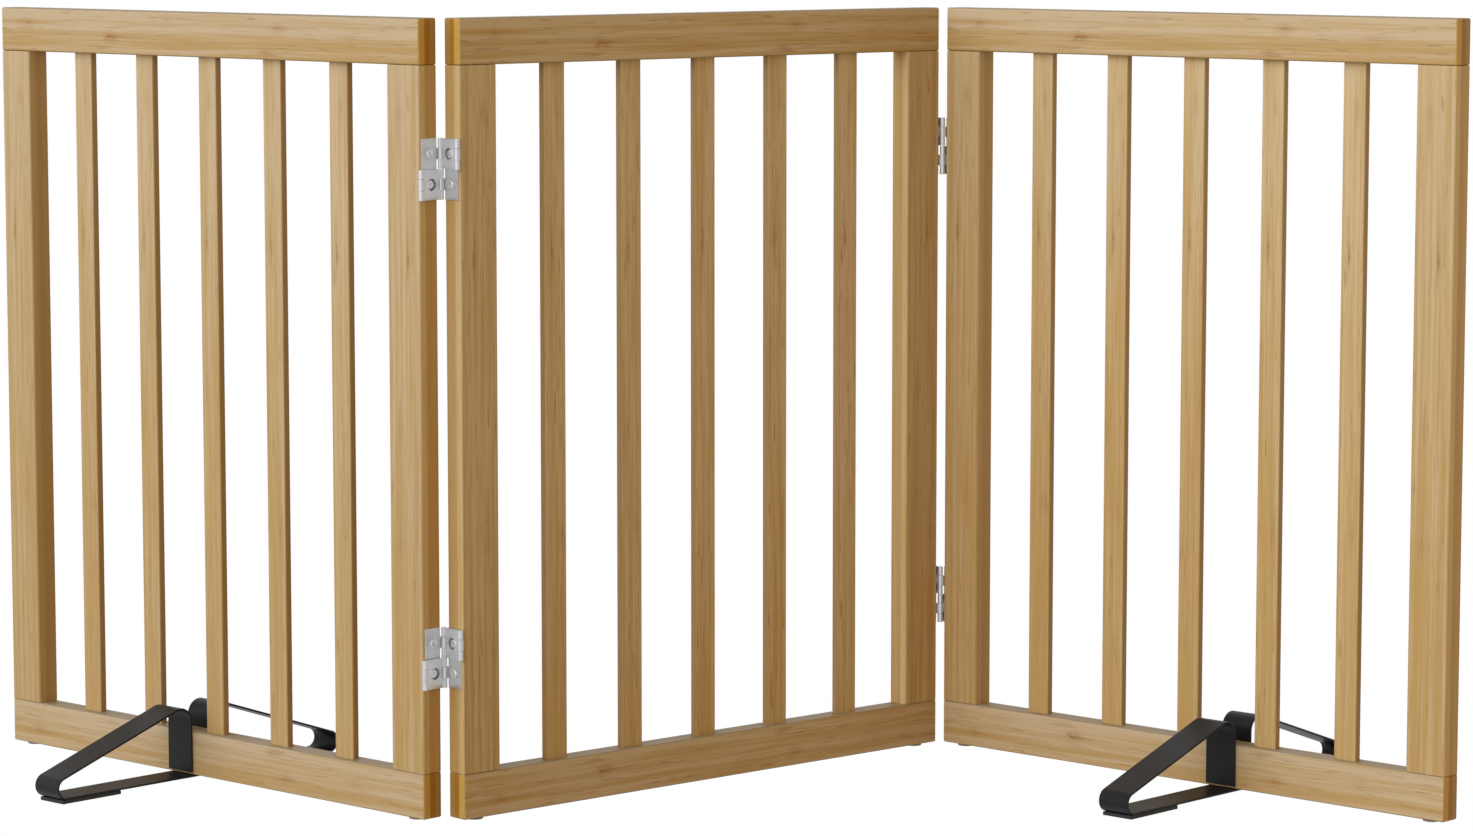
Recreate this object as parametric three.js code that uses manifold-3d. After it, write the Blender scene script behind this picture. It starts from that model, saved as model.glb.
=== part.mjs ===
// Folding three-panel pet gate in laminated bamboo, standing in a zig-zag on two
// slide-on feet of bent steel strap. Millimetres, +Z up, front towards -Y.
// The origin is on the floor, under the centre of the middle panel.
import * as THREE from 'three';
import { mergeVertices } from 'three/addons/utils/BufferGeometryUtils.js';
import Module from 'manifold-3d';

const wasm = await Module();
wasm.setup();

// ---- Panels -------------------------------------------------------------------------
const PANEL_WIDTH = 495;
const PANEL_THICKNESS = 18.5;
const PANEL_TOP = 610;
const PANEL_BOTTOM = 5;         // height of the wood above the floor
const RAIL_HEIGHT = 35;
const STILE_WIDTH = 35;
const EDGE_RADIUS = 1.5;
const TENON = { width: 20, thickness: 9, length: 12 };
const SLAT = { width: 21, thickness: 6, radius: 1.2, housed: 8, pitch: 75.9, count: 5 };
const FIT = 0.3;                // gap round a glued joint
const BUTT = 0.2;               // gap at each end of a stile
const GLIDE = { radius: 6.5, height: 1.8, inset: 17, nailRadius: 1.2, nailLength: 8 };

// ---- Fold ---------------------------------------------------------------------------
const FOLD_ANGLE = 84.4;        // how far each outer panel is folded from straight, degrees
const PANEL_GAP = 6.4;          // between end faces when the gate is straight
const PIN_OFFSET = 10;          // pin axis from the panel's middle plane

// ---- Crossed-leaf hinges ------------------------------------------------------------
const HINGE_HEIGHTS = { upper: 497.5, lower: 128 };
const HINGE_HALF = 23;          // each leaf is half of the hinge's height
const PLATE = { width: 15, thickness: 1.05, seat: 0.25, screwHole: 2 };
const LEAF = { thickness: 1.1, halfWeb: 7.4, access: 4.5 };
const KNUCKLE_RADIUS = 2.15;
const TAB = { radius: 2.3, bore: 1.3, low: 7.15, high: 15.85 };
const PIN_RADIUS = 1.0;
const RUNNING_GAP = 0.3;

// ---- Feet ---------------------------------------------------------------------------
const STRAP = { width: 28, thickness: 1.6, side: 0.2, legEnd: 7 };
const BEND = { z: 48, radius: 11.2 };
const TOE = { u: 137, z: 12.1, radius: 8.2 };
const PAD = { from: 83, to: 141, height: 2.9 };
const FOOT_CENTRE = { left: -34, right: -39 };   // along the bottom rail

const RAD = Math.PI / 180;

const bamboo = (hex) => new THREE.MeshStandardMaterial({ color: hex, roughness: 0.5, metalness: 0 });
const steel = () => new THREE.MeshStandardMaterial({ color: 0xa9abad, roughness: 0.34, metalness: 1 });
const blackSteel = () => new THREE.MeshStandardMaterial({ color: 0x262524, roughness: 0.45, metalness: 0.4 });
const rubber = (hex) => new THREE.MeshStandardMaterial({ color: hex, roughness: 0.85, metalness: 0 });

// ---- Solids -------------------------------------------------------------------------
function solid(geometry) {
  const bare = geometry.clone();
  bare.deleteAttribute('normal');
  bare.deleteAttribute('uv');
  const merged = mergeVertices(bare, 1e-4);
  const corners = Array.from(merged.index.array), triangles = [];
  for (let i = 0; i < corners.length; i += 3) {
    const [a, b, c] = corners.slice(i, i + 3);
    if (a !== b && b !== c && c !== a) triangles.push(a, b, c);
  }
  return new wasm.Manifold(new wasm.Mesh({
    numProp: 3,
    vertProperties: new Float32Array(merged.attributes.position.array),
    triVerts: new Uint32Array(triangles),
  }));
}

function geometryOf(manifold) {
  const mesh = manifold.getMesh();
  const geometry = new THREE.BufferGeometry();
  geometry.setAttribute('position', new THREE.BufferAttribute(mesh.vertProperties, 3));
  geometry.setIndex(new THREE.BufferAttribute(mesh.triVerts, 1));
  const flat = geometry.toNonIndexed();
  flat.computeVertexNormals();
  return flat;
}

const joined = (first, ...rest) => rest.reduce((a, b) => a.add(solid(b)), solid(first));
const cut = (body, ...tools) => tools.reduce((a, b) => a.subtract(solid(b)), body);

function box(x0, x1, y0, y1, z0, z1) {
  const geometry = new THREE.BoxGeometry(x1 - x0, y1 - y0, z1 - z0);
  return geometry.translate((x0 + x1) / 2, (y0 + y1) / 2, (z0 + z1) / 2);
}

function upright(radius, x, y, z0, z1, sides = 16) {
  const geometry = new THREE.CylinderGeometry(radius, radius, z1 - z0, sides);
  return geometry.rotateX(Math.PI / 2).translate(x, y, (z0 + z1) / 2);
}

function across(radius, y, z, x0, x1, sides = 20) {
  const geometry = new THREE.CylinderGeometry(radius, radius, x1 - x0, sides);
  return geometry.rotateZ(Math.PI / 2).translate((x0 + x1) / 2, y, z);
}

function roundedRectangle(width, height, radius) {
  const x = width / 2, y = height / 2, shape = new THREE.Shape();
  shape.moveTo(-x + radius, -y);
  shape.lineTo(x - radius, -y);
  shape.absarc(x - radius, -y + radius, radius, -Math.PI / 2, 0);
  shape.absarc(x - radius, y - radius, radius, 0, Math.PI / 2);
  shape.absarc(-x + radius, y - radius, radius, Math.PI / 2, Math.PI);
  shape.absarc(-x + radius, -y + radius, radius, Math.PI, 1.5 * Math.PI);
  return shape;
}

// A board along Z, rounded on its long edges and, where asked, at its ends.
function board(length, width, thickness, radius, roundEnds) {
  const geometry = new THREE.ExtrudeGeometry(roundedRectangle(width, thickness, radius), {
    depth: roundEnds ? length - 1.6 * radius : length,
    curveSegments: 2,
    bevelEnabled: roundEnds,
    bevelSize: radius * 0.8,
    bevelOffset: -radius * 0.8,
    bevelThickness: radius * 0.8,
    bevelSegments: 2,
  });
  geometry.computeBoundingBox();
  return geometry.translate(0, 0, -(geometry.boundingBox.min.z + geometry.boundingBox.max.z) / 2);
}

const slatX = (index) => (index - (SLAT.count - 1) / 2) * SLAT.pitch;
const stileX = (PANEL_WIDTH - STILE_WIDTH) / 2;
const glideX = PANEL_WIDTH / 2 - GLIDE.inset;
const opening = PANEL_TOP - PANEL_BOTTOM - 2 * RAIL_HEIGHT;

// A rail lies along X with its mortises in the upper face.
function rail(hasGlides) {
  const top = RAIL_HEIGHT / 2;
  let body = solid(board(PANEL_WIDTH, RAIL_HEIGHT, PANEL_THICKNESS, EDGE_RADIUS, true)
    .rotateY(Math.PI / 2));
  for (const side of [-1, 1]) {
    const x = TENON.width / 2 + FIT, y = TENON.thickness / 2 + FIT;
    body = cut(body, box(side * stileX - x, side * stileX + x, -y, y,
      top - TENON.length - FIT, top + 5));
    if (hasGlides) {
      body = cut(body, upright(GLIDE.nailRadius + FIT, side * glideX, 0,
        -top - 5, -top + GLIDE.nailLength + FIT, 12));
    }
  }
  for (let i = 0; i < SLAT.count; i++) {
    const x = SLAT.width / 2 + FIT, y = SLAT.thickness / 2 + FIT;
    body = cut(body, box(slatX(i) - x, slatX(i) + x, -y, y, top - SLAT.housed - FIT, top + 5));
  }
  return geometryOf(body);
}

function stile() {
  const half = opening / 2 - BUTT;
  const x = TENON.width / 2, y = TENON.thickness / 2, end = opening / 2 + TENON.length;
  return geometryOf(joined(
    board(2 * half, STILE_WIDTH, PANEL_THICKNESS, EDGE_RADIUS, false),
    box(-x, x, -y, y, -end, end),
  ));
}

const slat = () => board(opening + 2 * SLAT.housed, SLAT.width, SLAT.thickness, SLAT.radius, false);

// A nail-on glide: a low disc with a softened rim and a short shank upwards.
function glide() {
  const { radius, height, nailRadius, nailLength } = GLIDE;
  const profile = [[0, 0], [radius - 0.8, 0], [radius, 0.6], [radius, height],
    [nailRadius, height], [nailRadius, height + nailLength - 1], [0, height + nailLength]];
  return new THREE.LatheGeometry(profile.map(([x, y]) => new THREE.Vector2(x, y)), 20)
    .rotateX(Math.PI / 2);
}

function place(group, name, geometry, material, x = 0, y = 0, z = 0) {
  const mesh = new THREE.Mesh(geometry, material);
  mesh.name = name;
  mesh.position.set(x, y, z);
  group.add(mesh);
  return mesh;
}

// One panel, upright, with its middle plane at y = 0 and its width along X.
function panel(prefix) {
  const group = new THREE.Group();
  const middle = (PANEL_TOP + PANEL_BOTTOM) / 2;
  place(group, `${prefix}_bottom_rail`, rail(true), bamboo(0xb98f57),
    0, 0, PANEL_BOTTOM + RAIL_HEIGHT / 2);
  place(group, `${prefix}_top_rail`, rail(false), bamboo(0xc4a376),
    0, 0, PANEL_TOP - RAIL_HEIGHT / 2).rotation.x = Math.PI;
  place(group, `${prefix}_stile_1`, stile(), bamboo(0xbd9762), -stileX, 0, middle);
  place(group, `${prefix}_stile_2`, stile(), bamboo(0xbd9762), stileX, 0, middle);
  for (let i = 0; i < SLAT.count; i++) {
    place(group, `${prefix}_slat_${i + 1}`, slat(), bamboo(0xbe9660), slatX(i), 0, middle);
  }
  const glideZ = PANEL_BOTTOM - GLIDE.height - BUTT;
  place(group, `${prefix}_glide_1`, glide(), rubber(0x6f6c66), -glideX, 0, glideZ);
  place(group, `${prefix}_glide_2`, glide(), rubber(0x6f6c66), glideX, 0, glideZ);
  return group;
}

// ---- Hinges -------------------------------------------------------------------------
// In a hinge's own space X runs across the gap from one end face to the other, the two
// pin axes stand at x = 0, y = +-PIN_OFFSET, and the halves meet at z = 0.

// The plate screwed to the end face at -X. Its upper tab curls round the rear pin and
// its lower tab round the front pin.
function hingePlate() {
  const x0 = -PANEL_GAP / 2 + PLATE.seat, x1 = x0 + PLATE.thickness;
  const tab = (side) => {
    const z0 = side > 0 ? TAB.low : -TAB.high, z1 = side > 0 ? TAB.high : -TAB.low;
    const y = side * PIN_OFFSET, inner = side * (PLATE.width / 2 - 0.5);
    return [box(x0, x1, Math.min(y, inner), Math.max(y, inner), z0, z1),
      upright(TAB.radius, 0, y, z0, z1)];
  };
  const body = joined(
    box(x0, x1, -PLATE.width / 2, PLATE.width / 2, -HINGE_HALF, HINGE_HALF),
    ...tab(1), ...tab(-1),
  );
  return cut(body,
    upright(TAB.bore, 0, PIN_OFFSET, -30, 30, 12),
    upright(TAB.bore, 0, -PIN_OFFSET, -30, 30, 12),
    across(PLATE.screwHole, 0, HINGE_HALF / 2, -9, 9, 16),
    across(PLATE.screwHole, 0, -HINGE_HALF / 2, -9, 9, 16));
}

// The upper leaf, with a knuckle at each end of both edges and its two pins riveted in.
function hingeLeaf() {
  const x = LEAF.thickness / 2, z0 = 0.2, z1 = HINGE_HALF;
  const window0 = TAB.low - RUNNING_GAP, window1 = TAB.high + RUNNING_GAP;
  const parts = [];
  for (const [low, high] of [[z0, window0], [window1, z1]]) {
    parts.push(box(-x, x, -PIN_OFFSET, PIN_OFFSET, low, high));
    for (const side of [-1, 1]) parts.push(upright(KNUCKLE_RADIUS, 0, side * PIN_OFFSET, low, high));
  }
  for (const side of [-1, 1]) {
    parts.push(upright(PIN_RADIUS, 0, side * PIN_OFFSET, z0 + 0.1, z1 - 0.1, 12));
  }
  const body = joined(box(-x, x, -LEAF.halfWeb, LEAF.halfWeb, z0, z1), ...parts);
  return cut(body, across(LEAF.access, 0, HINGE_HALF / 2, -5, 5, 20));
}

const plateShape = hingePlate();
const leafShape = hingeLeaf();

// ---- Feet ---------------------------------------------------------------------------
// One side of the strap, offset from its middle line, from the front leg's free end down
// to the front toe, under the rail and up the rear in the same way.
function strapSide(offset) {
  const legU = PANEL_THICKNESS / 2 + STRAP.side + STRAP.thickness / 2;
  const bendU = legU + BEND.radius;
  const run = Math.hypot(TOE.u - bendU, BEND.z - TOE.z);
  const slope = Math.atan2(BEND.z - TOE.z, TOE.u - bendU)
    + Math.asin((BEND.radius - TOE.radius) / run);
  const upper = Math.PI / 2 - slope;
  const points = [[legU - offset, STRAP.legEnd]];
  const arc = (u, z, radius, from, to, steps) => {
    for (let i = 0; i <= steps; i++) {
      const angle = from + (to - from) * i / steps;
      points.push([u + (radius + offset) * Math.cos(angle), z + (radius + offset) * Math.sin(angle)]);
    }
  };
  arc(bendU, BEND.z, BEND.radius, Math.PI, upper, 8);
  arc(TOE.u, TOE.z, TOE.radius, upper, -Math.PI / 2, 10);
  return [...points.map(([u, z]) => [-u, z]), ...points.reverse()];
}

function strap() {
  const half = STRAP.thickness / 2;
  const outline = [...strapSide(half), ...strapSide(-half).reverse()];
  const shape = new THREE.Shape(outline.map(([y, z]) => new THREE.Vector2(y, z)));
  const geometry = new THREE.ExtrudeGeometry(shape, { depth: STRAP.width, bevelEnabled: false });
  // The shape's own axes are Y and Z of the foot, and it is extruded along X.
  geometry.translate(0, 0, -STRAP.width / 2);
  return geometry.rotateX(Math.PI / 2).rotateZ(Math.PI / 2);
}

function padAt(side) {
  const shape = roundedRectangle(STRAP.width, PAD.to - PAD.from, 1.5);
  const geometry = new THREE.ExtrudeGeometry(shape, {
    depth: PAD.height, curveSegments: 3, bevelEnabled: false,
  });
  return geometry.translate(0, side * (PAD.from + PAD.to) / 2, 0);
}

function foot(prefix) {
  const group = new THREE.Group();
  place(group, `${prefix}_foot_strap`, strap(), blackSteel());
  place(group, `${prefix}_foot_pad_front`, padAt(prefix === 'left' ? -1 : 1), rubber(0x1b1b1b));
  place(group, `${prefix}_foot_pad_rear`, padAt(prefix === 'left' ? 1 : -1), rubber(0x1b1b1b));
  return group;
}

// ---- Assembly -----------------------------------------------------------------------
const HALF_TURN = FOLD_ANGLE / 2 * RAD;
const hingeX = (PANEL_WIDTH + PANEL_GAP) / 2;

// The left panel with its foot, and the middle panel's share of the left hinges. The
// same group turned half round the origin's vertical axis is the right side.
function side(prefix) {
  const group = new THREE.Group();
  const onMiddle = new THREE.Group();
  onMiddle.rotation.z = HALF_TURN;
  const outer = panel(prefix);
  const pin = new THREE.Vector3(-hingeX, PIN_OFFSET, 0).applyAxisAngle(new THREE.Vector3(0, 0, 1), HALF_TURN);
  const arm = new THREE.Vector3(hingeX, PIN_OFFSET, 0).applyAxisAngle(new THREE.Vector3(0, 0, 1), -HALF_TURN);
  outer.position.copy(pin).sub(arm);
  outer.rotation.z = -HALF_TURN;
  const plateFar = geometryOf(plateShape).rotateZ(Math.PI);
  const leafLow = geometryOf(leafShape).rotateX(Math.PI);
  for (const [height, z] of Object.entries(HINGE_HEIGHTS)) {
    const name = `${prefix}_${height}_hinge`;
    place(outer, `${name}_outer_plate`, geometryOf(plateShape), steel(), hingeX, 0, z);
    place(outer, `${name}_outer_leaf`, leafLow.clone(), steel(), hingeX, 0, z);
    place(onMiddle, `${name}_middle_plate`, plateFar.clone(), steel(), -hingeX, 0, z);
    place(onMiddle, `${name}_middle_leaf`, geometryOf(leafShape), steel(), -hingeX, 0, z);
  }
  const stand = foot(prefix);
  stand.position.x = FOOT_CENTRE[prefix];
  outer.add(stand);
  group.add(outer, onMiddle);
  return group;
}

const gate = new THREE.Group();
const middle = panel('middle');
middle.rotation.z = HALF_TURN;
const right = side('right');
right.rotation.z = Math.PI;
gate.add(side('left'), middle, right);
gate.updateMatrixWorld(true);

export default gate;
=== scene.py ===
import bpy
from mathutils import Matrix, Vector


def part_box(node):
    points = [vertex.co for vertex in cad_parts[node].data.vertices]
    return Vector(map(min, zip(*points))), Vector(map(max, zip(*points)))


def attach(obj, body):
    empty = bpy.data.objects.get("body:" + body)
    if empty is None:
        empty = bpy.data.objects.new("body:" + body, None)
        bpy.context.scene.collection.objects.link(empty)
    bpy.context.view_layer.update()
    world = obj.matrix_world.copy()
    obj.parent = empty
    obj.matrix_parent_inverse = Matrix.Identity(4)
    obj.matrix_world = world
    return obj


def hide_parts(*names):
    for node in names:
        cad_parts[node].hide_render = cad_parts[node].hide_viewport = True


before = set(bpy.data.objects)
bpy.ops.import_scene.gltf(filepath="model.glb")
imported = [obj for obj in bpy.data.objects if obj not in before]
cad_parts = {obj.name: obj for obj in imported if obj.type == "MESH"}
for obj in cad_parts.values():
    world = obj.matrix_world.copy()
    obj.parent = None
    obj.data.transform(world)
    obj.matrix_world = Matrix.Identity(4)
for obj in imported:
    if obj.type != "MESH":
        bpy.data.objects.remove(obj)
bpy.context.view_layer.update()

import math

import bpy
import bmesh
from mathutils import Matrix, Vector

# ---------------------------------------------------------------- camera
# A long lens stands a little to the right of the gate's middle, above its top rails,
# and looks slightly down on the zig-zag.
camera = bpy.data.objects.new("camera", bpy.data.cameras.new("camera"))
bpy.context.scene.collection.objects.link(camera)
bpy.context.scene.camera = camera
camera.location = (0.0715, -3.6059, 0.7010)
camera.rotation_euler = (math.radians(90 - 6.468), 0, math.radians(0.715))
camera.data.lens = 112.8
camera.data.sensor_width = 36
camera.data.clip_start, camera.data.clip_end = 0.05, 50

# ---------------------------------------------------------------- rails
# Each panel has a top and a bottom rail of laminated bamboo board: two face plies over a
# darker core, with rounded edges. The stiles and slats are glued into mortises in them.
MM = 0.001
PANEL_WIDTH, PANEL_THICKNESS = 495 * MM, 18.5 * MM
PANEL_TOP, PANEL_FOOT = 610 * MM, 5 * MM
RAIL_HEIGHT = STILE_WIDTH = 35 * MM
EDGE_ROUND = 1.5 * MM
SLAT_WIDTH, SLAT_THICKNESS, SLAT_PITCH, SLAT_HOUSED = 21 * MM, 6 * MM, 75.9 * MM, 8 * MM
TENON_WIDTH, TENON_THICKNESS, TENON_LENGTH = 20 * MM, 9 * MM, 12 * MM
GLUE_GAP = 0.3 * MM
FOLD = math.radians(42.2)
SLAT_PLACES = [(number - 2) * SLAT_PITCH for number in range(5)]
STILE_PLACES = [-(PANEL_WIDTH - STILE_WIDTH) / 2, (PANEL_WIDTH - STILE_WIDTH) / 2]


def middle_of(node):
    low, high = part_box(node)
    return (Vector(low) + Vector(high)) / 2


# Where each panel stands: a turn about the vertical, then a move to its middle. The right
# panel is the left one turned half round, and so are its parts.
PANELS = {}
for panel, turn in (("left", -FOLD), ("middle", FOLD), ("right", math.pi - FOLD)):
    middle = middle_of(f"{panel}_bottom_rail")
    PANELS[panel] = Matrix.Translation((middle.x, middle.y, 0)) @ Matrix.Rotation(turn, 4, "Z")


def start_block(low, high):
    """A block between two corners, alone in the selection."""
    bpy.ops.object.select_all(action="DESELECT")
    middle = [(a + b) / 2 for a, b in zip(low, high)]
    bpy.ops.mesh.primitive_cube_add(size=1, location=middle)
    block = bpy.context.object
    block.scale = [b - a for a, b in zip(low, high)]
    bpy.ops.object.transform_apply(location=True, rotation=True, scale=True)
    return block


def start_round(radius, length, middle, axis="Z", sides=32):
    """A rod of a given length about its middle, along one axis."""
    bpy.ops.object.select_all(action="DESELECT")
    turn = {"X": (0, math.pi / 2, 0), "Y": (math.pi / 2, 0, 0), "Z": (0, 0, 0)}[axis]
    bpy.ops.mesh.primitive_cylinder_add(
        vertices=sides, radius=radius, depth=length, location=middle, rotation=turn)
    bpy.ops.object.transform_apply(location=True, rotation=True, scale=True)
    return bpy.context.object


def finish_with(piece, kind, **settings):
    """Adds one modifier and applies it."""
    bpy.ops.object.select_all(action="DESELECT")
    piece.select_set(True)
    bpy.context.view_layer.objects.active = piece
    modifier = piece.modifiers.new(kind.lower(), kind)
    for name, value in settings.items():
        setattr(modifier, name, value)
    bpy.ops.object.modifier_apply(modifier=modifier.name)


def cut_away(piece, *tools):
    for tool in tools:
        finish_with(piece, "BOOLEAN", operation="DIFFERENCE", solver="EXACT", object=tool)
        bpy.data.objects.remove(tool)


def soften(piece, width, segments=3, angle=35):
    """Rounds the sharp edges, once slivers and needless edges left by the cuts are gone."""
    bpy.ops.object.mode_set(mode="EDIT")
    bpy.ops.mesh.select_all(action="SELECT")
    bpy.ops.mesh.remove_doubles(threshold=0.02 * MM)
    bpy.ops.mesh.dissolve_degenerate(threshold=0.01 * MM)
    bpy.ops.mesh.dissolve_limited(angle_limit=math.radians(0.5))
    bpy.ops.object.mode_set(mode="OBJECT")
    finish_with(piece, "BEVEL", width=width, segments=segments, limit_method="ANGLE",
                angle_limit=math.radians(angle))


def smooth(piece, angle=30):
    """Smooth round its rounded edges, with its broad faces kept flat."""
    bpy.ops.object.select_all(action="DESELECT")
    piece.select_set(True)
    bpy.context.view_layer.objects.active = piece
    bpy.ops.object.shade_smooth_by_angle(angle=math.radians(angle))
    finish_with(piece, "WEIGHTED_NORMAL", keep_sharp=True)


def copy_to(pattern, name, place, body, material, nodes=()):
    """A copy of a finished pattern at its place in the gate, riding on its body."""
    piece = bpy.data.objects.new(name, pattern.data.copy())
    bpy.context.scene.collection.objects.link(piece)
    bpy.ops.object.select_all(action="DESELECT")
    piece.select_set(True)
    bpy.context.view_layer.objects.active = piece
    piece.matrix_world = place
    bpy.ops.object.transform_apply(location=True, rotation=True, scale=True)
    piece.data.materials.clear()
    piece.data.materials.append(material)
    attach(piece, body)
    if nodes:
        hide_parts(*nodes)
    return piece


class Wire:
    """One value in a material's node tree. Arithmetic on it adds the Math nodes."""

    def __init__(self, tree, socket=None):
        self.tree, self.socket = tree, socket

    def node(self, kind, settings=None, sockets=None, out=0):
        node = self.tree.nodes.new(kind)
        for key, value in (settings or {}).items():
            setattr(node, key, value)
        for key, value in (sockets or {}).items():
            if isinstance(value, Wire):
                self.tree.links.new(value.socket, node.inputs[key])
            else:
                node.inputs[key].default_value = value
        return Wire(self.tree, node.outputs[out])

    def maths(self, operation, *values):
        return self.node("ShaderNodeMath", {"operation": operation}, dict(enumerate(values)))

    def __add__(self, other):
        return self.maths("ADD", self, other)

    def __sub__(self, other):
        return self.maths("SUBTRACT", self, other)

    def __rsub__(self, other):
        return self.maths("SUBTRACT", other, self)

    def __mul__(self, other):
        return self.maths("MULTIPLY", self, other)

    def __truediv__(self, other):
        return self.maths("DIVIDE", self, other)

    __radd__, __rmul__ = __add__, __mul__

    def over(self, edge):
        return self.maths("GREATER_THAN", self, edge)

    def ramp(self, low, high):
        """Rises smoothly from 0 at one value to 1 at another."""
        return self.node("ShaderNodeMapRange", {"interpolation_type": "SMOOTHSTEP"},
                         {"Value": self, "From Min": low, "From Max": high})

    def vector(self, x, y, z):
        return self.node("ShaderNodeCombineXYZ", None, {"X": x, "Y": y, "Z": z})

    def noise(self, where, scale=1.0, detail=2.0):
        return self.node("ShaderNodeTexNoise", {"noise_dimensions": "3D"},
                         {"Vector": where, "Scale": scale, "Detail": detail})

    def hump(self, *offsets):
        """1 where every offset is 0, and falls away smoothly on all sides."""
        return self.maths("EXPONENT", sum(offset * offset for offset in offsets) * -1.0)

    def dot(self, where, direction):
        return self.node("ShaderNodeVectorMath", {"operation": "DOT_PRODUCT"},
                         {0: where, 1: direction}, out=1)

    def blend(self, share, first, second):
        """Two colours, mixed by a share that may vary."""
        colour = {name: (*value, 1) if isinstance(value, tuple) else value
                  for name, value in ((6, first), (7, second))}
        return self.node("ShaderNodeMix", {"data_type": "RGBA", "clamp_factor": True},
                         {0: share, **colour}, out=2)


def start_material(name):
    material = bpy.data.materials.new(name)
    material.use_nodes = True
    surface = material.node_tree.nodes["Principled BSDF"]
    return material, surface, Wire(material.node_tree)


def feed(surface, wire, values):
    for name, value in values.items():
        if isinstance(value, Wire):
            wire.tree.links.new(value.socket, surface.inputs[name])
        else:
            surface.inputs[name].default_value = value


def bamboo(name, panel, along, strip, knots, painted_light_tones, boards=True, contrast=1.0):
    """Lacquered bamboo, laminated from strips that run along the board. The knots are the
    growth rings of the stalk: (along the board, across it, half width, strength)."""
    middle_panel = panel == "middle"
    # The panel's tone multipliers are painted light: each makes a lighter or darker copy of one
    # bamboo.
    pale, warm = (tuple(part * share for part, share in zip(base, painted_light_tones[panel]))
                  for base in (PALE_BAMBOO, WARM_BAMBOO))
    material, surface, wire = start_material(name)
    local = wire.node("ShaderNodeMapping", {"vector_type": "TEXTURE"}, {
        "Vector": wire.node("ShaderNodeTexCoord", out=3),
        "Location": PANELS[panel].translation,
        "Rotation": (0, 0, FOLD if middle_panel else -FOLD)})
    split = wire.tree.nodes.new("ShaderNodeSeparateXYZ")
    wire.tree.links.new(local.socket, split.inputs[0])
    x, y, z = (Wire(wire.tree, split.outputs[axis]) for axis in range(3))
    depth = wire.maths("ABSOLUTE", y)
    # Inward is the way across the board that mirrors from one upright to the next.
    if along == "X":
        upper = z.over(PANEL_TOP / 2)
        run, cross = x, upper * (PANEL_TOP + PANEL_FOOT - 2 * z) + z - PANEL_FOOT
        inward = cross
    else:
        run, cross = z, x
        inward = (wire.maths("ABSOLUTE", x) - STILE_PLACES[1] if boards
                  else wire.maths("WRAP", x, SLAT_PITCH / 2, -SLAT_PITCH / 2))

    # Fibres bend round the knots, which darken the strip in a smudge with a long tail.
    ragged = wire.noise(wire.vector(run * 260, cross * 420, y * 200), detail=3.0) - 0.5
    marks, bend = run * 0.0, run * 0.0
    for where, level, width, strength in knots:
        aside = (inward - level + ragged * (2 * MM)) / width
        spot = wire.hump((run - where + ragged * (8 * MM)) / (7.5 * MM), aside)
        tail = wire.hump((run - where - 8 * MM) / (24 * MM),
                         (inward - level + 0.8 * MM) / (1.2 * MM))
        marks = marks + (spot * 0.62 + tail * 0.55) * strength
        bend = bend + spot * aside * (1.6 * MM * strength)
    cross = cross + bend

    # Soft bands, then streaks, then single fibres, short dark dashes and the glue seams.
    row = wire.maths("FLOOR", cross / strip + wire.maths("FLOOR", y / (6.2 * MM) + 40.5) * 7.0)
    tone = wire.node("ShaderNodeTexWhiteNoise", {"noise_dimensions": "1D"}, {"W": row + 3.7})
    start = row * 1.7
    band = wire.noise(wire.vector(run * 3.4 + start, cross * 180, y * 120), detail=3.0)
    streak = wire.noise(wire.vector(run * 11 + start, cross * 620, y * 420), detail=3.0)
    fibre = wire.noise(wire.vector(run * 40 + start, cross * 2300, y * 1500), detail=2.0)
    dash = wire.noise(wire.vector(run * 34 + start, cross * 600, y * 500), detail=1.0)
    dash = dash.ramp(0.62, 0.71) * streak.ramp(0.38, 0.58)
    part = wire.maths("FRACT", cross / strip)
    seam = 1 - (part * (1 - part)).ramp(0.0, 0.012)

    # The middle panel has a stronger figure and more even boards, with weaker painted light.
    # A rail pales towards its top edge, painted light from above, and has one darker line, and
    # an upright pales towards its top and darkens towards its foot, painted light and shade.
    contrast *= 1.35 if middle_panel else 1.0
    share = 0.50 + ((band - 0.5) * 2.3 + (streak - 0.5) * 2.0 + (tone - 0.5) * 0.25) * contrast
    if along == "X":
        # Painted light from above: each rail grows paler towards its top edge, less on the middle
        # panel.
        height = z - upper * (PANEL_TOP - RAIL_HEIGHT - PANEL_FOOT) - PANEL_FOOT
        rise = (height.ramp(13 * MM, 22 * MM) - 0.5) * 0.42 + (height - RAIL_HEIGHT / 2) * 9
        share = share + rise * (0.35 if middle_panel else 1.0)
        share = share - wire.hump((cross - 24.3 * MM) / (2.2 * MM)) * 0.28
    # Painted light and shade: an upright is lighter towards its top and darker towards its foot.
    elif middle_panel:
        share = share + (z.ramp(0.02, 0.32) - 0.5) * 0.50
    else:
        share = share + (z.ramp(0.12, 0.62) - 0.5) * 0.68
    colour = wire.blend(share, warm, pale)
    dark = (fibre.ramp(0.50, 0.78) * 0.18 + dash * 0.45 + seam * 0.09) * contrast
    colour = wire.blend(dark, colour, DARK_FIBRE)
    colour = wire.blend(marks * (ragged * 2.0 + 1.0) * 0.66, colour, KNOT_BROWN)

    if boards:
        # A board's edges show its three plies. The outer panels' stiles are darker on their inner
        # sides, and the middle panel darkens a little towards its right end: both painted shade.
        core, rear = 1 - depth.ramp(2.8 * MM, 3.1 * MM), y.ramp(2.8 * MM, 3.1 * MM)
        edge = 1 - depth.ramp(8.4 * MM, 9.2 * MM)
        colour = wire.blend(edge * 0.45, colour, (0.74, 0.50, 0.155))
        colour = wire.blend(edge * (core * 0.42 + rear * 0.28), colour, (0.44, 0.20, 0.042))
        if middle_panel:
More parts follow.
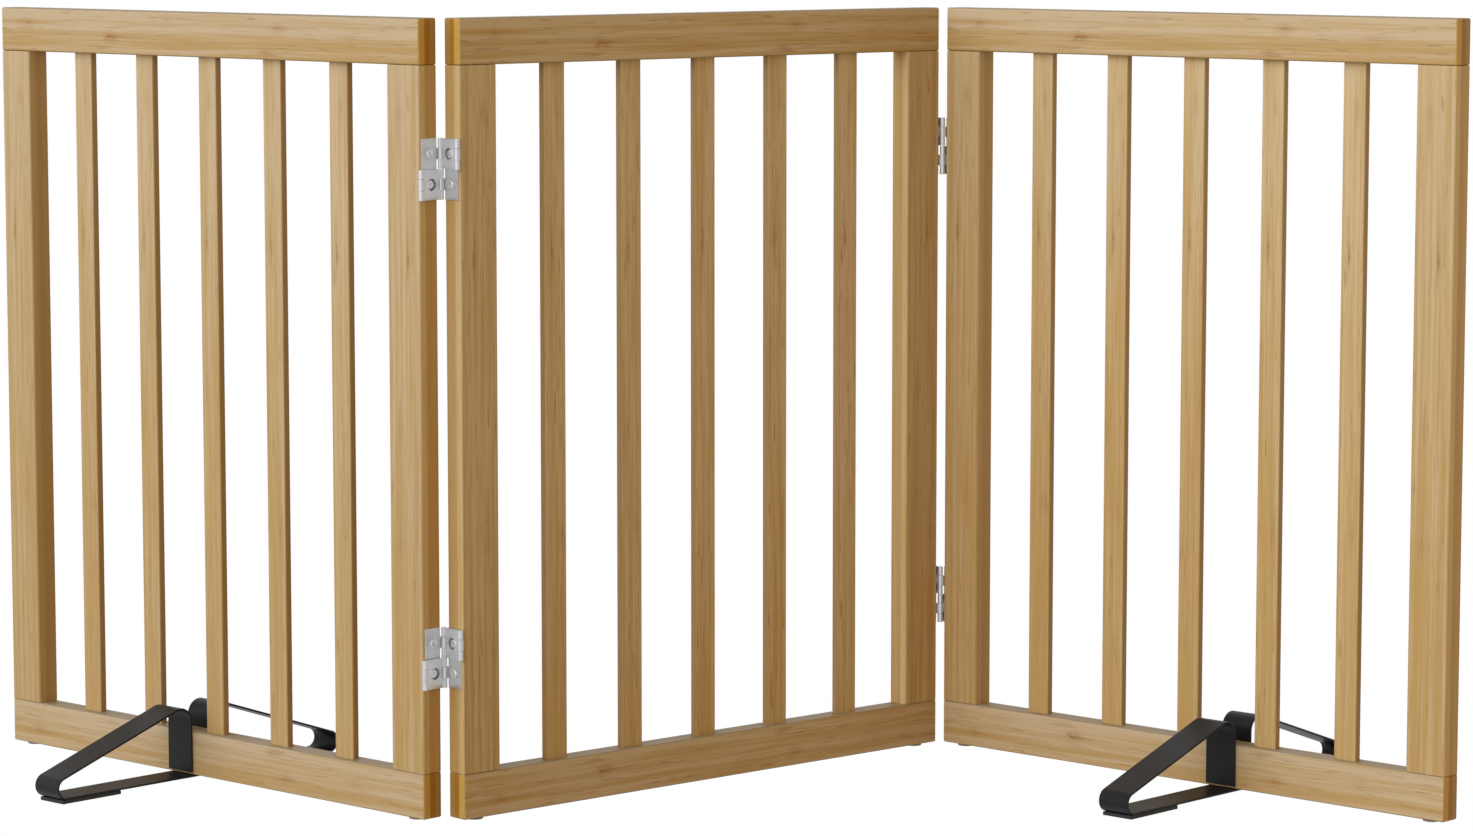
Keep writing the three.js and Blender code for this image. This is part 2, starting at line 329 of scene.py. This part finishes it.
            # Painted shade where the right panel shadows the middle panel's right end.
            end = x.ramp(100 * MM, PANEL_WIDTH / 2) * (1 - edge) * 0.30
            colour = wire.blend(end, colour, (0.36, 0.185, 0.045))
        elif along == "Z":
            # Painted shade on the inner side faces of the outer panels' stiles.
            inner_side_painted_shade = 1 - inward.ramp(0.9 * MM - STILE_WIDTH / 2, 1.5 * MM - STILE_WIDTH / 2)
            colour = wire.blend(inner_side_painted_shade * 0.32, colour, (0.33, 0.185, 0.065))
    else:
        # A slat's planed edges are darker than its broad faces: partly their own deeper tone,
        # partly painted shade.
        side = wire.maths("ABSOLUTE", inward).ramp(SLAT_WIDTH / 2 - 0.9 * MM,
                                                   SLAT_WIDTH / 2 - 0.3 * MM)
        colour = wire.blend(side * 0.78, colour, (0.37, 0.215, 0.07))
    if along == "X":
        # The planed long edges are duller and greyer than the sanded faces, partly their own
        # finish and partly painted shade, and the sawn ends show the plies deeper in colour, with
        # pores and fine pale lines of glue.
        planed_and_painted_shade = height.ramp(33.8 * MM, 34.6 * MM) + 1 - height.ramp(0.3 * MM, 1.1 * MM)
        colour = wire.blend(planed_and_painted_shade * 0.62, colour, (0.215, 0.185, 0.125))
        pores = wire.noise(wire.vector(x * 200, y * 2600, z * 1500), detail=2.0)
        face = wire.blend(core, (0.66, 0.385, 0.078), (0.44, 0.195, 0.011))
        plies = wire.blend(rear, face, (0.47, 0.275, 0.070))
        glue = 1 - wire.maths("ABSOLUTE", depth - 2.9 * MM).ramp(0.1 * MM, 0.4 * MM)
        plies = wire.blend(glue * 0.35, plies, (0.60, 0.37, 0.13))
        plies = wire.blend(pores.ramp(0.50, 0.72) * 0.25, plies, (0.15, 0.055, 0.008))
        sawn = wire.maths("ABSOLUTE", x).over(PANEL_WIDTH / 2 - 0.6 * MM)
        colour = wire.blend(sawn, colour, plies)
    relief = fibre * 0.6 + streak * 0.5 - dash * 0.5 - marks * 0.5 - seam * 0.5
    bump = wire.node("ShaderNodeBump", None,
                     {"Strength": 0.35, "Distance": 0.12 * MM, "Height": relief})
    feed(surface, wire, {"Base Color": colour, "Roughness": 0.43 + fibre * 0.16,
                         "Normal": bump, "Specular IOR Level": 0.35,
                         "Coat Weight": 0.10, "Coat Roughness": 0.32})
    return material


PALE_BAMBOO, WARM_BAMBOO = (0.66, 0.495, 0.27), (0.555, 0.35, 0.115)
DARK_FIBRE, KNOT_BROWN = (0.33, 0.155, 0.034), (0.37, 0.15, 0.026)
rail_pattern = start_block((-PANEL_WIDTH / 2, -PANEL_THICKNESS / 2, -RAIL_HEIGHT / 2),
                           (PANEL_WIDTH / 2, PANEL_THICKNESS / 2, RAIL_HEIGHT / 2))
soften(rail_pattern, EDGE_ROUND, segments=4)
for middle in STILE_PLACES:
    half, deep = TENON_WIDTH / 2 + GLUE_GAP, TENON_THICKNESS / 2 + GLUE_GAP
    cut_away(rail_pattern, start_block(
        (middle - half, -deep, RAIL_HEIGHT / 2 - TENON_LENGTH - GLUE_GAP),
        (middle + half, deep, RAIL_HEIGHT)))
for middle in SLAT_PLACES:
    half, deep = SLAT_WIDTH / 2 + GLUE_GAP / 2, SLAT_THICKNESS / 2 + GLUE_GAP / 2
    cut_away(rail_pattern, start_block(
        (middle - half, -deep, RAIL_HEIGHT / 2 - SLAT_HOUSED - GLUE_GAP),
        (middle + half, deep, RAIL_HEIGHT)))
smooth(rail_pattern)

RAIL_KNOTS = ((-0.2135, 0.0125, 0.0042, 0.6), (-0.109, 0.0218, 0.0040, 1.1),
              (0.090, 0.0112, 0.0044, 0.7), (0.0755, 0.0305, 0.0038, 0.7),
              (0.1716, 0.0163, 0.0040, 0.4), (-0.040, 0.0060, 0.0040, 0.35))
# Per-panel multipliers of the bamboo colours, painted light: the right panel's copy is lighter.
RAIL_PAINTED_LIGHT_TONES = {"left": (1, 1, 1.03), "middle": (1, 1, 1), "right": (1.06, 1.06, 1.07)}
for panel, place in PANELS.items():
    board = bamboo(f"bamboo_rail_{panel}", panel, "X", 17.4 * MM, RAIL_KNOTS, RAIL_PAINTED_LIGHT_TONES)
    copy_to(rail_pattern, f"{panel}_bottom_rail_board",
            place @ Matrix.Translation((0, 0, PANEL_FOOT + RAIL_HEIGHT / 2)),
            f"{panel}_panel", board, [f"{panel}_bottom_rail"])
    copy_to(rail_pattern, f"{panel}_top_rail_board",
            place @ Matrix.Translation((0, 0, PANEL_TOP - RAIL_HEIGHT / 2))
            @ Matrix.Rotation(math.pi, 4, "X"),
            f"{panel}_panel", board, [f"{panel}_top_rail"])

# ---------------------------------------------------------------- stiles
# The two end uprights of each panel, cut from the same board and butted between the
# rails, with a tenon at each end. Their narrow strips run up and down.
BUTT_GAP = 0.12 * MM
OPENING = PANEL_TOP - PANEL_FOOT - 2 * RAIL_HEIGHT
HALF_OPENING, MIDDLE_HEIGHT = OPENING / 2, (PANEL_TOP + PANEL_FOOT) / 2


def round_long_edges(piece, radius, segments):
    """Bevels the four upright edges of a block, which stays square at its ends."""
    bpy.ops.object.mode_set(mode="EDIT")
    bpy.ops.mesh.select_mode(type="EDGE")
    bpy.ops.mesh.select_all(action="DESELECT")
    mesh = bmesh.from_edit_mesh(piece.data)
    for edge in mesh.edges:
        first, second = edge.verts
        rise = second.co - first.co
        edge.select = abs(rise.z) > 0.9 * rise.length
    bmesh.update_edit_mesh(piece.data)
    bpy.ops.mesh.bevel(offset=radius, segments=segments, affect="EDGES")
    bpy.ops.object.mode_set(mode="OBJECT")


def build_on(piece, *tools):
    for tool in tools:
        finish_with(piece, "BOOLEAN", operation="UNION", solver="EXACT", object=tool)
        bpy.data.objects.remove(tool)


stile_pattern = start_block(
    (-STILE_WIDTH / 2, -PANEL_THICKNESS / 2, -HALF_OPENING + BUTT_GAP),
    (STILE_WIDTH / 2, PANEL_THICKNESS / 2, HALF_OPENING - BUTT_GAP))
round_long_edges(stile_pattern, EDGE_ROUND, 4)
build_on(stile_pattern, start_block(
    (-TENON_WIDTH / 2, -TENON_THICKNESS / 2, -HALF_OPENING - TENON_LENGTH),
    (TENON_WIDTH / 2, TENON_THICKNESS / 2, HALF_OPENING + TENON_LENGTH)))
smooth(stile_pattern)

STILE_KNOTS = ((0.5388, -0.0045, 0.0035, 0.45), (0.4285, 0.0050, 0.0018, 0.95),
               (0.2131, -0.0055, 0.0035, 0.45))
# Per-panel multipliers, painted light: the middle and right panels' copies are lighter.
STILE_PAINTED_LIGHT_TONES = {"left": (1.01, 1.01, 1.0), "middle": (1.04, 1.03, 1.0),
               "right": (1.08, 1.06, 0.98)}
for panel, place in PANELS.items():
    upright = bamboo(f"bamboo_stile_{panel}", panel, "Z", 6.1 * MM, STILE_KNOTS, STILE_PAINTED_LIGHT_TONES,
                     contrast=0.95)
    for number, across in enumerate(STILE_PLACES, 1):
        copy_to(stile_pattern, f"{panel}_stile_{number}_board",
                place @ Matrix.Translation((across, 0, MIDDLE_HEIGHT)),
                f"{panel}_panel", upright, [f"{panel}_stile_{number}"])

# ---------------------------------------------------------------- slats
# Five thin bamboo slats stand in each panel's opening, housed at both ends in the rails.
# They are a single ply, with softly rounded edges.
SLAT_ROUND = 1.3 * MM
slat_pattern = start_block(
    (-SLAT_WIDTH / 2, -SLAT_THICKNESS / 2, -HALF_OPENING - SLAT_HOUSED),
    (SLAT_WIDTH / 2, SLAT_THICKNESS / 2, HALF_OPENING + SLAT_HOUSED))
round_long_edges(slat_pattern, SLAT_ROUND, 4)
smooth(slat_pattern)

SLAT_KNOTS = ((0.5388, 0.0025, 0.0028, 0.4), (0.4285, -0.0025, 0.0014, 0.9),
              (0.2131, 0.0050, 0.0025, 0.35))
# Per-panel multipliers, painted light: the middle and right panels' copies are lighter.
SLAT_PAINTED_LIGHT_TONES = {"left": (1.03, 1.03, 1.0), "middle": (1.08, 1.07, 1.04),
              "right": (1.12, 1.10, 1.0)}
for panel, place in PANELS.items():
    strip = bamboo(f"bamboo_slat_{panel}", panel, "Z", 10.3 * MM, SLAT_KNOTS, SLAT_PAINTED_LIGHT_TONES,
                   boards=False, contrast=0.95)
    for number, across in enumerate(SLAT_PLACES, 1):
        copy_to(slat_pattern, f"{panel}_slat_{number}_strip",
                place @ Matrix.Translation((across, 0, MIDDLE_HEIGHT)),
                f"{panel}_panel", strip, [f"{panel}_slat_{number}"])

# ---------------------------------------------------------------- glides
# A small round nail-on glide of grey nylon sits under each end of every bottom rail. It
# is a low disc with a rounded rim and a dished middle.
GLIDE_RADIUS, GLIDE_HEIGHT, GLIDE_INSET = 6.5 * MM, 1.9 * MM, 17 * MM
glide_pattern = start_round(GLIDE_RADIUS, GLIDE_HEIGHT, (0, 0, GLIDE_HEIGHT / 2), sides=40)
bpy.ops.object.mode_set(mode="EDIT")
bpy.ops.mesh.select_mode(type="FACE")
bpy.ops.mesh.select_all(action="DESELECT")
mesh = bmesh.from_edit_mesh(glide_pattern.data)
for face in mesh.faces:
    face.select = face.normal.z < -0.9
bmesh.update_edit_mesh(glide_pattern.data)
bpy.ops.mesh.inset(thickness=3.6 * MM, depth=0)
bpy.ops.mesh.inset(thickness=0.9 * MM, depth=-0.5 * MM)
bpy.ops.object.mode_set(mode="OBJECT")
soften(glide_pattern, 0.45 * MM, segments=3, angle=30)
smooth(glide_pattern)

nylon, surface, wire = start_material("glide_nylon")
cloud = wire.noise(wire.node("ShaderNodeTexCoord", out=3), scale=900, detail=2.0)
feed(surface, wire, {
    "Base Color": wire.blend(cloud, (0.27, 0.245, 0.21), (0.35, 0.32, 0.275)),
    "Roughness": 0.45 + cloud * 0.2,
    "Normal": wire.node("ShaderNodeBump", None,
                        {"Strength": 0.3, "Distance": 0.05 * MM, "Height": cloud})})
for panel, place in PANELS.items():
    for number, side in enumerate((-1, 1), 1):
        across = side * (PANEL_WIDTH / 2 - GLIDE_INSET)
        copy_to(glide_pattern, f"{panel}_glide_{number}_disc",
                place @ Matrix.Translation((across, 0, PANEL_FOOT - GLIDE_HEIGHT)),
                f"{panel}_panel", nylon, [f"{panel}_glide_{number}"])

# ---------------------------------------------------------------- feet
# Each foot is one steel strap bent to a triangle on both sides of the rail: up the face,
# round a bend, down to the toe and back flat under the rail. It is powder-coated black.
STRAP_WIDTH, STRAP_THICKNESS, STRAP_CLEARANCE = 28 * MM, 1.6 * MM, 0.2 * MM
LEG_OUT = PANEL_THICKNESS / 2 + STRAP_CLEARANCE + STRAP_THICKNESS / 2
LEG_END, BEND_HEIGHT, BEND_RADIUS = 7 * MM, 48 * MM, 11.2 * MM
TOE_OUT, TOE_HEIGHT, TOE_RADIUS = 137 * MM, 12.1 * MM, 8.2 * MM
bend_out = LEG_OUT + BEND_RADIUS
reach, drop = TOE_OUT - bend_out, BEND_HEIGHT - TOE_HEIGHT
slope = math.atan2(drop, reach) + math.asin((BEND_RADIUS - TOE_RADIUS) / math.hypot(reach, drop))


def strap_edge_select(piece, where, near=1e-5):
    """Leaves only the free edge selected that crosses the strap at one point."""
    bpy.ops.mesh.select_mode(type="EDGE")
    bpy.ops.mesh.select_all(action="DESELECT")
    mesh = bmesh.from_edit_mesh(piece.data)
    for edge in mesh.edges:
        middle = (edge.verts[0].co + edge.verts[1].co) / 2
        edge.select = (middle - Vector(where)).length < near
    bmesh.update_edit_mesh(piece.data)


bpy.ops.object.select_all(action="DESELECT")
bpy.ops.mesh.primitive_plane_add(size=1, location=(0, -LEG_OUT, (LEG_END + BEND_HEIGHT) / 2),
                                 rotation=(math.pi / 2, 0, 0))
strap_pattern = bpy.context.object
strap_pattern.scale = (STRAP_WIDTH, BEND_HEIGHT - LEG_END, 1)
bpy.ops.object.transform_apply(location=True, rotation=True, scale=True)
bpy.ops.object.mode_set(mode="EDIT")
strap_edge_select(strap_pattern, (0, -LEG_OUT, BEND_HEIGHT))
bpy.ops.mesh.spin(steps=16, angle=math.pi / 2 + slope, axis=(-1, 0, 0),
                  center=(0, -bend_out, BEND_HEIGHT))
tangent = Vector((0, -math.sin(slope), math.cos(slope)))
bend_end = Vector((0, -bend_out, BEND_HEIGHT)) + tangent * BEND_RADIUS
toe_start = Vector((0, -TOE_OUT, TOE_HEIGHT)) + tangent * TOE_RADIUS
bpy.ops.mesh.extrude_region_move(TRANSFORM_OT_translate={"value": toe_start - bend_end})
bpy.ops.mesh.spin(steps=20, angle=math.pi - slope, axis=(-1, 0, 0),
                  center=(0, -TOE_OUT, TOE_HEIGHT))
bpy.ops.mesh.extrude_region_move(TRANSFORM_OT_translate={"value": (0, TOE_OUT, 0)})
bpy.ops.object.mode_set(mode="OBJECT")
finish_with(strap_pattern, "MIRROR", use_axis=(False, True, False), use_clip=True,
            merge_threshold=1e-5)
bpy.ops.object.mode_set(mode="EDIT")
bpy.ops.mesh.select_all(action="SELECT")
bpy.ops.mesh.remove_doubles(threshold=1e-6)
bpy.ops.mesh.normals_make_consistent(inside=False)
bpy.ops.object.mode_set(mode="OBJECT")
finish_with(strap_pattern, "SOLIDIFY", thickness=STRAP_THICKNESS, offset=0,
            use_even_offset=True)
soften(strap_pattern, 0.35 * MM, segments=3, angle=50)
smooth(strap_pattern)

black_coat, surface, wire = start_material("foot_black_powder_coat")
where = wire.node("ShaderNodeTexCoord", out=3)
orange_peel = wire.noise(where, scale=1400, detail=2.0)
patch = wire.noise(where, scale=28, detail=3.0)
feed(surface, wire, {
    "Base Color": wire.blend(patch, (0.009, 0.0088, 0.0086), (0.015, 0.0146, 0.0142)),
    "Roughness": 0.32 + patch * 0.12 + orange_peel * 0.08, "Specular IOR Level": 0.22,
    "Normal": wire.node("ShaderNodeBump", None, {
        "Strength": 0.22, "Distance": 0.06 * MM, "Height": orange_peel})})

# ---------------------------------------------------------------- foot pads
# A long strip of black rubber is bonded under each toe, as wide as the strap. Its edges
# are moulded round and its sole has shallow cross grooves.
PAD_FROM, PAD_TO, PAD_HEIGHT = 83 * MM, 141 * MM, 3.0 * MM
pad_pattern = start_block((-STRAP_WIDTH / 2, PAD_FROM, 0), (STRAP_WIDTH / 2, PAD_TO, PAD_HEIGHT))
soften(pad_pattern, 0.6 * MM, segments=3)
for number in range(9):
    groove = PAD_FROM + (number + 1) * (PAD_TO - PAD_FROM) / 10
    cut_away(pad_pattern, start_block((-STRAP_WIDTH, groove - 0.5 * MM, -1 * MM),
                                      (STRAP_WIDTH, groove + 0.5 * MM, 0.5 * MM)))
smooth(pad_pattern)

black_rubber, surface, wire = start_material("foot_black_rubber")
where = wire.node("ShaderNodeTexCoord", out=3)
pebble = wire.noise(where, scale=1800, detail=3.0)
feed(surface, wire, {
    "Base Color": wire.blend(pebble, (0.022, 0.022, 0.022), (0.042, 0.042, 0.042)),
    "Roughness": 0.62 + pebble * 0.2, "Specular IOR Level": 0.4,
    "Normal": wire.node("ShaderNodeBump", None, {
        "Strength": 0.4, "Distance": 0.08 * MM, "Height": pebble})})

FOOT_PLACES = {"left": -34 * MM, "right": -39 * MM}
for side, along in FOOT_PLACES.items():
    place = PANELS[side] @ Matrix.Translation((along, 0, 0))
    copy_to(strap_pattern, f"{side}_foot_bent_strap", place, f"{side}_foot",
            black_coat, [f"{side}_foot_strap"])
    for end, turn in (("front", math.pi), ("rear", 0)):
        turn += math.pi if side == "right" else 0
        copy_to(pad_pattern, f"{side}_foot_{end}_sole", place @ Matrix.Rotation(turn, 4, "Z"),
                f"{side}_foot", black_rubber, [f"{side}_foot_pad_{end}"])

# ---------------------------------------------------------------- hinge plates
# One zinc-plated steel plate is screwed to each panel's end face at each hinge. A tab at
# each half curls round a pin: the upper one at the rear, the lower one at the front.
PANEL_GAP, PIN_OUT = 6.4 * MM, 10 * MM
HINGE_HEIGHTS = {"upper": 497.5 * MM, "lower": 128 * MM}
HINGE_HALF, PLATE_HALF = 23 * MM, 7.5 * MM
PLATE_BACK = -PANEL_GAP / 2 + 0.1 * MM
PLATE_FACE = PLATE_BACK + 1.1 * MM
TAB_LOW, TAB_HIGH = 7.15 * MM, 15.85 * MM
CURL_OUTER, CURL_INNER = 2.3 * MM, 1.25 * MM

plate_pattern = start_block((PLATE_BACK, -PLATE_HALF, -HINGE_HALF),
                            (PLATE_FACE, PLATE_HALF, HINGE_HALF))
for side in (1, -1):
    low, high = (TAB_LOW, TAB_HIGH) if side > 0 else (-TAB_HIGH, -TAB_LOW)
    middle = (0, side * PIN_OUT, (low + high) / 2)
    tongue = start_block(
        (PLATE_BACK, min(side * PIN_OUT, side * 7 * MM), low),
        (PLATE_FACE, max(side * PIN_OUT, side * 7 * MM), high))
    curl = start_round(CURL_OUTER, high - low, middle, sides=36)
    build_on(plate_pattern, tongue, curl)
    cut_away(plate_pattern, start_round(CURL_INNER, high - low + 4 * MM, middle, sides=24))
cut_away(plate_pattern,
         start_round(2 * MM, 6 * MM, (PLATE_FACE, 0, HINGE_HALF / 2), "X", 24),
         start_round(2 * MM, 6 * MM, (PLATE_FACE, 0, -HINGE_HALF / 2), "X", 24))
soften(plate_pattern, 0.16 * MM, segments=2, angle=40)
smooth(plate_pattern)


def zinc(name, base, rough):
    """Satin zinc plate on pressed steel: faint mottling, fine draw lines, dull patches."""
    material, surface, wire = start_material(name)
    where = wire.node("ShaderNodeTexCoord", out=3)
    stretched = wire.node("ShaderNodeMapping", None, {"Vector": where, "Scale": (500, 500, 60)})
    lines = wire.noise(stretched, scale=4.0, detail=3.0)
    mottle = wire.noise(where, scale=260, detail=3.0)
    feed(surface, wire, {
        "Base Color": wire.blend(mottle, tuple(0.86 * part for part in base), base),
        "Metallic": 0.86, "Roughness": rough + mottle * 0.16 + lines * 0.06,
        "Normal": wire.node("ShaderNodeBump", None, {
            "Strength": 0.25, "Distance": 0.04 * MM, "Height": lines + mottle})})
    return material


plate_zinc = zinc("hinge_zinc_plate", (0.76, 0.765, 0.77), 0.24)


def hinge_places():
    """Each hinge part's name, body and place: the panel's own share and the middle's."""
    across = (PANEL_WIDTH + PANEL_GAP) / 2
    for side in ("left", "right"):
        middle = PANELS["middle"] if side == "left" else (
            PANELS["middle"] @ Matrix.Rotation(math.pi, 4, "Z"))
        for height, level in HINGE_HEIGHTS.items():
            name = f"{side}_{height}_hinge"
            yield (name, "outer", f"{side}_panel",
                   PANELS[side] @ Matrix.Translation((across, 0, level)), False)
            yield (name, "middle", "middle_panel",
                   middle @ Matrix.Translation((-across, 0, level)), True)


for name, share, body, place, far in hinge_places():
    turn = Matrix.Rotation(math.pi, 4, "Z") if far else Matrix.Identity(4)
    copy_to(plate_pattern, f"{name}_{share}_screwed_plate", place @ turn, body,
            plate_zinc, [f"{name}_{share}_plate"])

# ---------------------------------------------------------------- hinge leaves
# Two crossed leaves join the plates of a hinge, one above the other. Each is a pressed
# sheet with a big access hole, rolled into knuckles at both edges round its two pins.
LEAF_HALF, LEAF_LOW = 0.55 * MM, 0.2 * MM
KNUCKLE_RADIUS, PIN_RADIUS = 2.15 * MM, 1.0 * MM
WINDOW_LOW, WINDOW_HIGH = 6.85 * MM, 16.15 * MM
leaf_pattern = start_block((-LEAF_HALF, -7.4 * MM, LEAF_LOW), (LEAF_HALF, 7.4 * MM, HINGE_HALF))
for low, high in ((LEAF_LOW, WINDOW_LOW), (WINDOW_HIGH, HINGE_HALF)):
    parts = [start_block((-LEAF_HALF, -PIN_OUT, low), (LEAF_HALF, PIN_OUT, high))]
    parts += [start_round(KNUCKLE_RADIUS, high - low, (0, side * PIN_OUT, (low + high) / 2),
                          sides=36) for side in (1, -1)]
    build_on(leaf_pattern, *parts)
for side in (1, -1):
    # The rolled edge leaves a fine seam where the sheet meets itself again.
    for face in (1, -1):
        middle = Vector((face * 1.4 * MM, side * 8.3 * MM, 11.5 * MM))
        cut_away(leaf_pattern, start_block(
            middle - Vector((0.6 * MM, 0.1 * MM, 13 * MM)),
            middle + Vector((0.6 * MM, 0.1 * MM, 13 * MM))))
cut_away(leaf_pattern, start_round(4.5 * MM, 6 * MM, (0, 0, HINGE_HALF / 2), "X", 40))
soften(leaf_pattern, 0.16 * MM, segments=2, angle=40)
smooth(leaf_pattern)

PIN_END = HINGE_HALF + 0.25 * MM
pin_pattern = start_round(PIN_RADIUS, PIN_END - LEAF_LOW, (0, 0, (PIN_END + LEAF_LOW) / 2),
                          sides=24)
soften(pin_pattern, 0.35 * MM, segments=3, angle=40)
smooth(pin_pattern)

leaf_zinc = zinc("hinge_zinc_leaf", (0.79, 0.795, 0.80), 0.20)
pin_steel = zinc("hinge_pin_steel", (0.66, 0.655, 0.65), 0.20)
for name, share, body, place, far in hinge_places():
    turn = Matrix.Identity(4) if far else Matrix.Rotation(math.pi, 4, "X")
    copy_to(leaf_pattern, f"{name}_{share}_rolled_leaf", place @ turn, body,
            leaf_zinc, [f"{name}_{share}_leaf"])
    for end, out in (("front", -PIN_OUT), ("rear", PIN_OUT)):
        copy_to(pin_pattern, f"{name}_{share}_{end}_pin",
                place @ Matrix.Translation((0, out, 0)) @ turn, body, pin_steel)

# ---------------------------------------------------------------- hinge screws
# Two pan-head screws with a cross recess hold each plate. The leaf's access hole leaves
# room for the head and the driver.
HEAD_RADIUS, HEAD_HEIGHT, SHANK_RADIUS = 3.25 * MM, 1.45 * MM, 1.7 * MM
screw_pattern = start_round(HEAD_RADIUS, HEAD_HEIGHT, (HEAD_HEIGHT / 2, 0, 0), "X", 36)
soften(screw_pattern, 1.0 * MM, segments=5, angle=40)
build_on(screw_pattern, start_round(SHANK_RADIUS, 12 * MM, (-5.9 * MM, 0, 0), "X", 20))
for low, high in (((0.55, -1.9, -0.34), (3, 1.9, 0.34)), ((0.55, -0.34, -1.9), (3, 0.34, 1.9))):
    cut_away(screw_pattern, start_block([part * MM for part in low], [part * MM for part in high]))
smooth(screw_pattern, 40)

screw_zinc = zinc("hinge_screw_zinc", (0.90, 0.90, 0.895), 0.10)
for name, share, body, place, far in hinge_places():
    turn = Matrix.Rotation(math.pi, 4, "Z") if far else Matrix.Identity(4)
    for number, level in enumerate((HINGE_HALF / 2, -HINGE_HALF / 2), 1):
        twist = Matrix.Rotation(0.5 + 0.9 * number + (1.1 if far else 0.3), 4, "X")
        copy_to(screw_pattern, f"{name}_{share}_screw_{number}",
                place @ turn @ Matrix.Translation((PLATE_FACE, 0, level)) @ twist,
                body, screw_zinc)

for pattern in (rail_pattern, stile_pattern, slat_pattern, glide_pattern, strap_pattern,
                pad_pattern, plate_pattern, leaf_pattern, pin_pattern, screw_pattern):
    bpy.data.objects.remove(pattern)

# ---------------------------------------------------------------- studio
# A white seamless floor and backdrop. Light is cool and bright from a window at front
# left, warm and dim all round, and weakest overhead. Gloss sees a dark flag at right.
FLOOR_NEAR, FLOOR_FAR = (0.29, 0.20, 0.11), (0.50, 0.42, 0.31)
AMBIENT, WINDOW = (0.55, 0.41, 0.26), (1.88, 2.05, 2.46)
GLOSS_AMBIENT, GLOSS_WINDOW, GLOSS_FLAG = (0.85, 0.85, 0.85), (1.6, 1.6, 1.6), (0.22, 0.21, 0.20)
WHITE = (1.0, 1.0, 1.0)
bpy.ops.object.select_all(action="DESELECT")
bpy.ops.mesh.primitive_plane_add(size=40, location=(0, 0, -0.5 * MM))
floor = bpy.context.object
floor.name = "studio_floor"
floor_white, surface, wire = start_material("studio_floor_white")
away = wire.node("ShaderNodeVectorMath", {"operation": "LENGTH"},
                 {0: wire.node("ShaderNodeTexCoord", out=3)}, out=1)
glow = wire.blend(away.ramp(0.2, 2.2), FLOOR_NEAR, FLOOR_FAR)
glow = wire.blend(wire.node("ShaderNodeLightPath", out=3), glow, (0.8, 0.8, 0.8))
glow = wire.blend(wire.node("ShaderNodeLightPath"), glow, WHITE)
glow = wire.node("ShaderNodeEmission", None, {"Color": glow})
wire.tree.links.new(glow.socket, wire.tree.nodes["Material Output"].inputs["Surface"])
floor.data.materials.append(floor_white)

world = bpy.data.worlds.new("studio_world")
bpy.context.scene.world = world
world.use_nodes = True
wire = Wire(world.node_tree)
direction = wire.node("ShaderNodeTexCoord")
window = wire.dot(direction, Vector((-0.74, -0.58, 0.34)).normalized()).ramp(0.55, 0.95)
overhead = wire.dot(direction, (0.0, 0.0, 1.0)).ramp(0.35, 0.95)
flag = wire.dot(direction, (0.82, -0.57, 0.0)).ramp(0.80, 0.97)
sky = wire.blend(overhead, AMBIENT, tuple(0.35 * part for part in AMBIENT))
sky = wire.blend(window, sky, WINDOW)
gleam = wire.blend(window, wire.blend(flag, GLOSS_AMBIENT, GLOSS_FLAG), GLOSS_WINDOW)
sky = wire.blend(wire.node("ShaderNodeLightPath", out=3), sky, gleam)
sky = wire.blend(wire.node("ShaderNodeLightPath"), sky, WHITE)
wire.tree.links.new(sky.socket, world.node_tree.nodes["Background"].inputs["Color"])
bpy.context.scene.view_settings.view_transform = "Standard"
